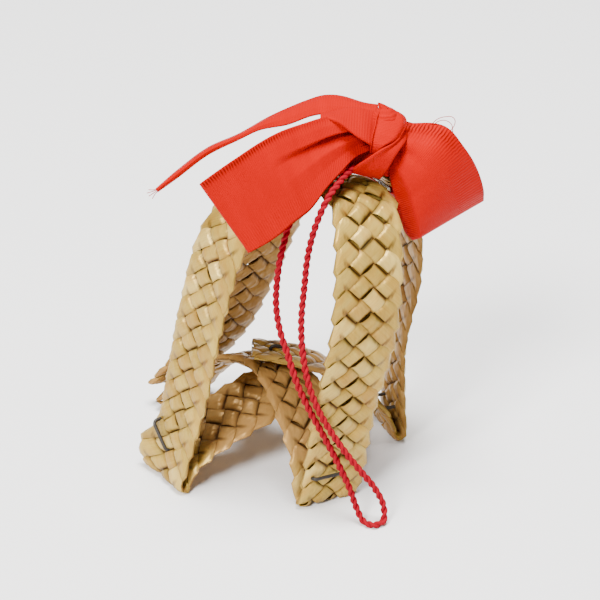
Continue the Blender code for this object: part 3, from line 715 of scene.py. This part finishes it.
# the right loop's grid, its crease, and the gathers beside the knot: height, place across and width
RIGHT_SIZE = (80, 44)
CREASE_PLACE = 0.2
RIGHT_GATHERS = ((-1.0, 0.45, 0.07), (0.8, 0.60, 0.10), (-0.8, 0.78, 0.06))
GATHER_REACH = 0.5
RIGHT_BELLY = 1.6
RIGHT_RIPPLE = 0.2
RIGHT_WAVES = (8, 5)
# where the weave is drawn together and painted shade darkens it: the place across and the width of each mark
LEFT_PULLED = (0.035, 0.03)
RIGHT_PULLED_TOP = (0.90, 0.09)
RIGHT_PULLED_EDGE = (0.08, 0.08)
# how a loop turns at its far end and stands open, and how a tail is doubled
LOOP_END_RADIUS = 0.55
LOOP_AT_KNOT = 2.0
LEFT_OPENING = 5.0
RIGHT_OPENING = 6.0
TAIL_GAP = 0.8
GRID_MAP_GAP = 60

# A thread drawn out at the top of the right loop, and the frayed end of the long tail.
THREAD_RADIUS = 0.09
THREAD_SIDES = 6
THREADS = (
    [(38.6, -0.2, 92.4), (39.5, -0.2, 93.5), (40.7, -0.4, 94.4), (42.3, -0.6, 94.8), (43.5, -0.8, 94.8),
     (44.2, -1.0, 94.1), (44.1, -1.2, 92.9), (43.2, -1.3, 91.4)],
    [(38.9, -0.3, 92.2), (40.4, -0.5, 93.6), (42.0, -0.8, 93.9), (43.4, -1.0, 93.0), (43.8, -1.2, 91.0)],
    [(-25.6, -7.2, 79.5), (-27.2, -7.4, 78.9), (-28.5, -7.4, 78.9)],
    [(-25.6, -7.4, 79.3), (-27.2, -7.8, 78.3), (-28.4, -8.2, 77.6)],
    [(-25.6, -7.6, 79.2), (-26.9, -8.0, 78.1), (-27.6, -8.4, 77.0)],
    [(-25.8, -7.5, 79.3), (-27.4, -7.6, 78.6), (-28.9, -7.8, 78.2)],
)

# The turn that ties the bow to the band: down past both edges of the band and across under it.
TURN_PLACE = np.array([28.6, 8.3, 73.4])
TURN_HALF_WIDTH = 3.4
TURN_SIDE_REACH = 9.9
TURN_CORNER = 0.6
TURN_GATHERED = 0.6
TURN_UNDER = 1.9
TURN_OVER = 1.4
TURN_TIED = (np.array([0.6, -3.0, -3.4]), np.array([-0.6, 3.0, -3.4]))


def taffeta():
    """Polyester taffeta: fine warp over thicker weft, so ribs run across the ribbon and it glows softly."""
    material, shader = new_material("woven_taffeta_ribbon")
    cloth = flat_map(material, "cloth")
    split = add_node(material, "ShaderNodeSeparateXYZ", Vector=cloth)
    # weft ribs are 0.25 mm apart; they are drawn 0.4 mm apart so that they show
    bands = {"wave_type": "BANDS", "bands_direction": "X"}
    ribs = add_node(material, "ShaderNodeTexWave", bands, Vector=cloth, Scale=0.79, Distortion=0.5,
                    Detail=1.0)
    # near the selvedges the ribs bunch up in pairs
    bunched = add_node(material, "ShaderNodeTexWave", bands, Vector=cloth, Scale=0.50, Distortion=2.6,
                       Detail=1.0)
    across = add_node(material, "ShaderNodeMath", {"operation": "SUBTRACT"}, i0=split.outputs["Y"],
                      i1=RIBBON_WIDTH / 2)
    from_middle = add_node(material, "ShaderNodeMath", {"operation": "ABSOLUTE"}, i0=across.outputs[0])
    selvedge = add_node(material, "ShaderNodeMapRange", Value=from_middle.outputs[0],
                        i1=RIBBON_WIDTH / 2 - SELVEDGE[0], i2=RIBBON_WIDTH / 2 - SELVEDGE[1])
    rib_shade = add_node(material, "ShaderNodeMix", {"data_type": "FLOAT"}, i0=selvedge.outputs[0],
                         i2=ribs.outputs["Fac"], i3=bunched.outputs["Fac"])
    depth = add_node(material, "ShaderNodeMapRange", Value=selvedge.outputs[0], i3=0.16, i4=0.22)
    # where the weave is drawn together its threads part, and painted shade darkens the gaps between them
    parted = add_node(material, "ShaderNodeMapRange", Value=bunched.outputs["Fac"], i1=0.55, i2=0.15, i3=0.0,
                      i4=0.85)
    pucker_shade = add_node(material, "ShaderNodeMath", {"operation": "MULTIPLY"}, i0=parted.outputs[0],
                     i1=kept_value(material, "pulled"))
    hue = mixed(material, stretched_noise(material, cloth, (0.30, 0.05), 3.0), linear("#9E0401"),
                linear("#B20702"))
    # painted shade in the valleys between the weft ribs, deeper near the selvedges
    rib_valley_shade = mixed(material, rib_shade.outputs[0], linear("#8A0A04"), linear("#FFFFFF"))
    ribbed = mixed(material, depth.outputs[0], hue, rib_valley_shade, "MULTIPLY")
    # painted shade in the parted weave
    pucker_shaded = mixed(material, pucker_shade.outputs[0], ribbed, linear("#5E0301"))
    warp = stretched_noise(material, cloth, (0.9, 5.0), 2.0)
    height = add_node(material, "ShaderNodeMath", {"operation": "MULTIPLY_ADD"}, i0=warp, i1=0.8,
                      i2=rib_shade.outputs[0])
    bump = add_node(material, "ShaderNodeBump", Strength=0.5, Distance=0.00012, Height=height.outputs[0])
    links = material.node_tree.links
    links.new(pucker_shaded, shader.inputs["Base Color"])
    links.new(bump.outputs[0], shader.inputs["Normal"])
    shader.inputs["Roughness"].default_value = 0.45
    shader.inputs["Specular IOR Level"].default_value = 0.08
    shader.inputs["Specular Tint"].default_value = linear("#FF5030")
    return material


def resampled(guide, count):
    """Evenly spaced points along a smooth curve through a guide."""
    dense, lengths = smooth(guide)
    return along_curve(dense, lengths, np.linspace(0, lengths[-1], count + 1))


def spread(size):
    """Places from 0 to 1 down a grid, and places from 0 to 1 across it."""
    return np.linspace(0, 1, size[0] + 1)[:, None], np.linspace(0, 1, size[1] + 1)[None, :]


def ribbon_grid(guides, rows, columns):
    """Points of a ribbon through guides laid lengthwise, rounded from each guide to the next."""
    lines = np.array([resampled(guide, rows) for guide in guides])
    places = np.linspace(0, 1, len(guides))
    share = np.linspace(0, 1, columns + 1)
    if len(guides) == 2:
        return lines[0][:, None] * (1 - share[None, :, None]) + lines[1][:, None] * share[None, :, None]
    low = np.clip(np.searchsorted(places, share, side="right") - 1, 0, len(places) - 2)
    span = places[low + 1] - places[low]
    t = ((share - places[low]) / span)[:, None, None]
    slopes = np.gradient(lines, places, axis=0)
    span = span[:, None, None]
    grid = between(lines[low], lines[low + 1], slopes[low] * span, slopes[low + 1] * span, t)
    return grid.transpose(1, 0, 2)


def folded_back(front, opening):
    """A loop from its front layer: the ribbon turns at the far end and comes back behind it."""
    end, inward = front[-1], unit(front[-2] - front[-1])
    turns = np.linspace(0, math.pi, 7)[1:-1]
    bend = np.array([end - TOWARDS * LOOP_END_RADIUS * (1 - math.cos(turn))
                     - inward * LOOP_END_RADIUS * math.sin(turn) for turn in turns])
    share = np.linspace(1, 0, len(front))[:, None, None]
    stands_open = opening * np.sin(math.pi * share**0.8) ** 0.8
    gap = 2 * LOOP_END_RADIUS + stands_open + LOOP_AT_KNOT * (1 - share)
    return np.concatenate([front, bend, front[::-1] - TOWARDS * gap])


def bump_at(place, middle, width):
    """A smooth bump of height 1 at a middle place."""
    return np.exp(-((place - middle) / width) ** 2)


def left_front():
    """The left loop's front layer: one deep pleat runs out of the knot and dies away before the fold."""
    rows, columns = LEFT_SIZE
    upper, lower = resampled(LEFT_UPPER, rows), resampled(LEFT_LOWER, rows)
    share = np.linspace(0, 1, columns + 1)
    lines = []
    for row in range(rows + 1):
        s = row / rows
        near = float(np.clip(1 - s / PLEAT_REACH, 0, 1)) ** PLEAT_ROUNDING
        crease = PLEAT_PLACE[0] * (1 - s) + PLEAT_PLACE[1] * s
        tuck = PLEAT_TUCK * near
        under = crease + PLEAT_WIDTH
        place = np.interp(share, [0, crease, under, 1],
                          [0, crease + tuck, crease + PLEAT_WIDTH * (1 - near) - tuck, 1])
        lift = np.interp(share, [0, crease / 2, crease, under, crease + SWELL_AFTER, DIP_PLACE, 1],
                         [0, PLEAT_RISE * PLEAT_SHOULDER, PLEAT_RISE, -PLEAT_FALL, SWELL, -SWELL, 0]) * near
        lift = lift + LEFT_BELLY * np.sin(math.pi * place) * (0.3 + 0.7 * s) * (1 - s)
        ripple = np.sin(LEFT_WAVES[0] * s + LEFT_WAVES[1] * place) * math.sin(math.pi * s)
        lift = lift + LEFT_RIPPLE * ripple
        lift = lift + HEM_LIFT * bump_at(place, 0, HEM_WIDTH) * s
        place = place[:, None]
        lines.append(upper[row] * (1 - place) + lower[row] * place + TOWARDS * lift[:, None])
    return np.array(lines)


def right_front():
    """The right loop's front layer: it comes out of the knot over a crease and spreads to the right."""
    inner, crease, outer = [resampled(guide, RIGHT_SIZE[0])[:, None]
                            for guide in (RIGHT_INNER, RIGHT_CREASE, RIGHT_OUTER)]
    s, w = spread(RIGHT_SIZE)
    over = np.clip((w - CREASE_PLACE) / (1 - CREASE_PLACE), 0, 1)
    turned = inner + (crease - inner) * (w / CREASE_PLACE)[..., None]
    flat = np.where((w < CREASE_PLACE)[..., None], turned, crease + (outer - crease) * over[..., None])
    gathers = sum(height * bump_at(w, place, width) for height, place, width in RIGHT_GATHERS)
    lift = np.clip(1 - s / GATHER_REACH, 0, 1) * gathers
    lift = lift + RIGHT_BELLY * np.sin(math.pi * over) * np.sin(math.pi * np.clip(s * 0.9 + 0.05, 0, 1))
    ripple = np.sin(RIGHT_WAVES[0] * s + RIGHT_WAVES[1] * w) * np.sin(math.pi * s)
    lift = lift + RIGHT_RIPPLE * ripple
    return flat + TOWARDS * lift[..., None]


def raised(grid, places, heights):
    """A grid lifted towards the front by heights given at places across the ribbon: folds along it."""
    columns = grid.shape[1] - 1
    lift = np.interp(np.linspace(0, 1, columns + 1), places, heights)
    return grid + TOWARDS * lift[None, :, None]


def doubled(grid, gap):
    """A tail folded lengthwise along its lower edge, so that it shows narrower than it was cut."""
    opening = np.minimum(np.arange(1, grid.shape[1]) / 3, 1) * gap
    return np.concatenate([grid, grid[:, -2::-1] - TOWARDS * opening[None, :, None]], axis=1)


def knot_core(rings=18, sides=48):
    """The gathered ribbon inside the knot."""
    tilt = np.linspace(0.12, math.pi - 0.12, rings)[:, None]
    turn = np.linspace(0, 2 * math.pi, sides)[None, :]
    out = np.sin(tilt) ** 0.8 * (1 + 0.02 * np.sin(7 * turn + 2 * tilt))
    return KNOT_MIDDLE + KNOT_RADII * np.stack([out * np.cos(turn), out * np.sin(turn),
                                                np.cos(tilt) + 0 * turn], -1)


def band_turn(route):
    """The ribbon's turn round a band: a route out of the knot, round the band and back into the knot."""
    places, frames, length = strip_frames(route)
    here = frames[np.argmin(np.linalg.norm(frames[:, :3] - TURN_PLACE, axis=1))]
    centre, width, normal = here[:3], here[3:6], here[6:9]
    along = np.cross(width, normal)
    normal = normal if normal[2] > 0 else -normal
    inward = TURN_SIDE_REACH - TURN_CORNER
    path = [(KNOT_MIDDLE + TURN_TIED[0], TURN_GATHERED),
            (centre + width * TURN_SIDE_REACH + normal * TURN_OVER, 1.0),
            (centre + width * inward - normal * TURN_UNDER, 1.0),
            (centre - normal * TURN_UNDER, 1.0),
            (centre - width * inward - normal * TURN_UNDER, 1.0),
            (centre - width * TURN_SIDE_REACH + normal * TURN_OVER, 1.0),
            (KNOT_MIDDLE + TURN_TIED[1], TURN_GATHERED)]
    return ribbon_grid([[tuple(place + along * side * TURN_HALF_WIDTH * share) for place, share in path]
                        for side in (-1, 1)], 80, 12)


def ribbon_solid(grids):
    """One mesh of thin closed cloth from several grids, with its flat map in millimetres."""
    points, faces, flat, pulled = [], [], [], []
    for number, (grid, start, tight) in enumerate(grids):
        rows, columns = grid.shape[0], grid.shape[1]
        normal = unit(np.cross(np.gradient(grid, axis=0), np.gradient(grid, axis=1)))
        along = np.concatenate([[0], np.cumsum(np.linalg.norm(np.diff(grid.mean(axis=1), axis=0), axis=1))])
        steps = np.linalg.norm(np.diff(grid, axis=1), axis=2).max(axis=0)
        across = start + np.concatenate([[0], np.cumsum(steps)])
        half = normal * RIBBON_THICKNESS / 2
        faces += tube_faces(rows, 2 * columns, first=len(points))
        points += round_strip(grid + half, grid - half).reshape(-1, 3).tolist()
        cloth = np.stack(np.meshgrid(along + GRID_MAP_GAP * number, across, indexing="ij"), -1)
        flat += round_strip(cloth).reshape(-1, 2).tolist()
        pull = np.zeros((rows, columns))
        if tight is not None:
            pull[:len(tight)] = tight
        pulled += round_strip(pull).ravel().tolist()
    return points, faces, flat, pulled


def pulled_left():
    """The weave is drawn together along the rolled upper edge of the left loop, far from the knot."""
    s, w = spread(LEFT_SIZE)
    return bump_at(w, *LEFT_PULLED) * np.clip((s - 0.45) / 0.2, 0, 1)


def pulled_right():
    """It is drawn together too at the top of the right loop and low on its turned edge."""
    s, w = spread(RIGHT_SIZE)
    top = bump_at(w, *RIGHT_PULLED_TOP) * np.clip((0.62 - s) / 0.25, 0, 1) * np.clip(s / 0.12, 0, 1)
    edge = bump_at(w, *RIGHT_PULLED_EDGE) * np.clip((s - 0.4) / 0.25, 0, 1)
    return np.maximum(top, edge)


def loose_thread(guide):
    """One fine thread drawn out of the weave, as rings of points."""
    line = resampled(guide, 30)
    slope = unit(np.gradient(line, axis=0))
    side = unit(np.cross(slope, TOWARDS))
    return rings_round(line, side, np.cross(side, slope), THREAD_RADIUS, THREAD_SIDES)


# Each grid with the place across the ribbon where it begins, in millimetres from a selvedge, and where its
# weave is drawn together. The lists given to raised are places across a grid and heights there.
grids = [
    (folded_back(left_front(), LEFT_OPENING), 0, pulled_left()),
    (folded_back(right_front(), RIGHT_OPENING), 0, pulled_right()),
    (doubled(raised(ribbon_grid(LONG_TAIL, 110, 24), (0, 0.3, 0.6, 1), (0, 1.1, 0.9, -0.5)), TAIL_GAP),
     0, None),
    (doubled(ribbon_grid(SHORT_TAIL, 40, 16), TAIL_GAP), 0, None),
    (raised(ribbon_grid(BACK_FOLD, 50, 24), (0, 0.5, 1), (0.2, 0.9, 1.7)), 0, None),
    (raised(ribbon_grid(MAIN_WRAP, 50, 40), (0, 0.10, 0.3, 0.36, 0.62, 0.68, 0.86, 1),
            (0.2, 1.6, 1.9, 0.7, 1.7, 0.7, 1.4, 0.3)), 4, None),
    (raised(ribbon_grid(LOWER_WRAP, 50, 40), (0, 0.12, 0.38, 0.44, 0.7, 0.76, 1),
            (-0.2, 0.9, 1.3, 0.3, 1.2, 0.4, 0.2)), 4, None),
    (ribbon_grid(UNDER_FOLD, 24, 24), 3, None),
    (band_turn(PLAIT_A), 5, None),
    (knot_core(), 0, None),
]
points, faces, flat, pulled = ribbon_solid(grids)
for guide in THREADS:
    rings = loose_thread(guide)
    faces += tube_faces(len(rings), THREAD_SIDES, first=len(points))
    points += rings.reshape(-1, 3).tolist()
    flat += [(0.0, RIBBON_WIDTH / 2)] * (len(rings) * THREAD_SIDES)
    pulled += [0.0] * (len(rings) * THREAD_SIDES)
bow = add_piece("taffeta_bow", points, faces, taffeta(), {"pulled": pulled}, {"cloth": flat})
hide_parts("ribbon_bow")
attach(bow, "root")


# ---------------------------------------------------------------- floor and light
# A seamless pale sweep, a broad soft lamp above and to the front left, and a pale surround.

FLOOR_HALF = 3.0
LAMPS_AIM = Vector((0.0, 0.0, 0.04))
floor_mesh = bpy.data.meshes.new("floor")
floor_mesh.from_pydata([(-FLOOR_HALF, -FLOOR_HALF, 0), (FLOOR_HALF, -FLOOR_HALF, 0),
                        (FLOOR_HALF, FLOOR_HALF, 0), (-FLOOR_HALF, FLOOR_HALF, 0)], [], [(0, 1, 2, 3)])
floor = bpy.data.objects.new("floor", floor_mesh)
bpy.context.scene.collection.objects.link(floor)
paper, paper_shader = new_material("pale_backdrop_paper")
paper_shader.inputs["Base Color"].default_value = linear("#F1F0EF")
paper_shader.inputs["Roughness"].default_value = 0.85
paper_shader.inputs["Specular IOR Level"].default_value = 0.2
floor_mesh.materials.append(paper)

world = bpy.data.worlds.new("studio")
bpy.context.scene.world = world
world.use_nodes = True
world.node_tree.nodes["Background"].inputs["Color"].default_value = linear("#F2F2F4")
world.node_tree.nodes["Background"].inputs["Strength"].default_value = 0.34


def soft_lamp(name, place, size, power):
    """A square lamp at a place in metres, turned to the ornament."""
    data = bpy.data.lights.new(name, "AREA")
    data.shape = "SQUARE"
    data.size = size
    data.energy = power
    lamp = bpy.data.objects.new(name, data)
    bpy.context.scene.collection.objects.link(lamp)
    lamp.location = place
    lamp.rotation_euler = (LAMPS_AIM - Vector(place)).to_track_quat("-Z", "Y").to_euler()


soft_lamp("key", (-0.60, -1.00, 1.15), 0.45, 42.0)
soft_lamp("top", (0.05, 0.00, 1.9), 0.8, 92.0)
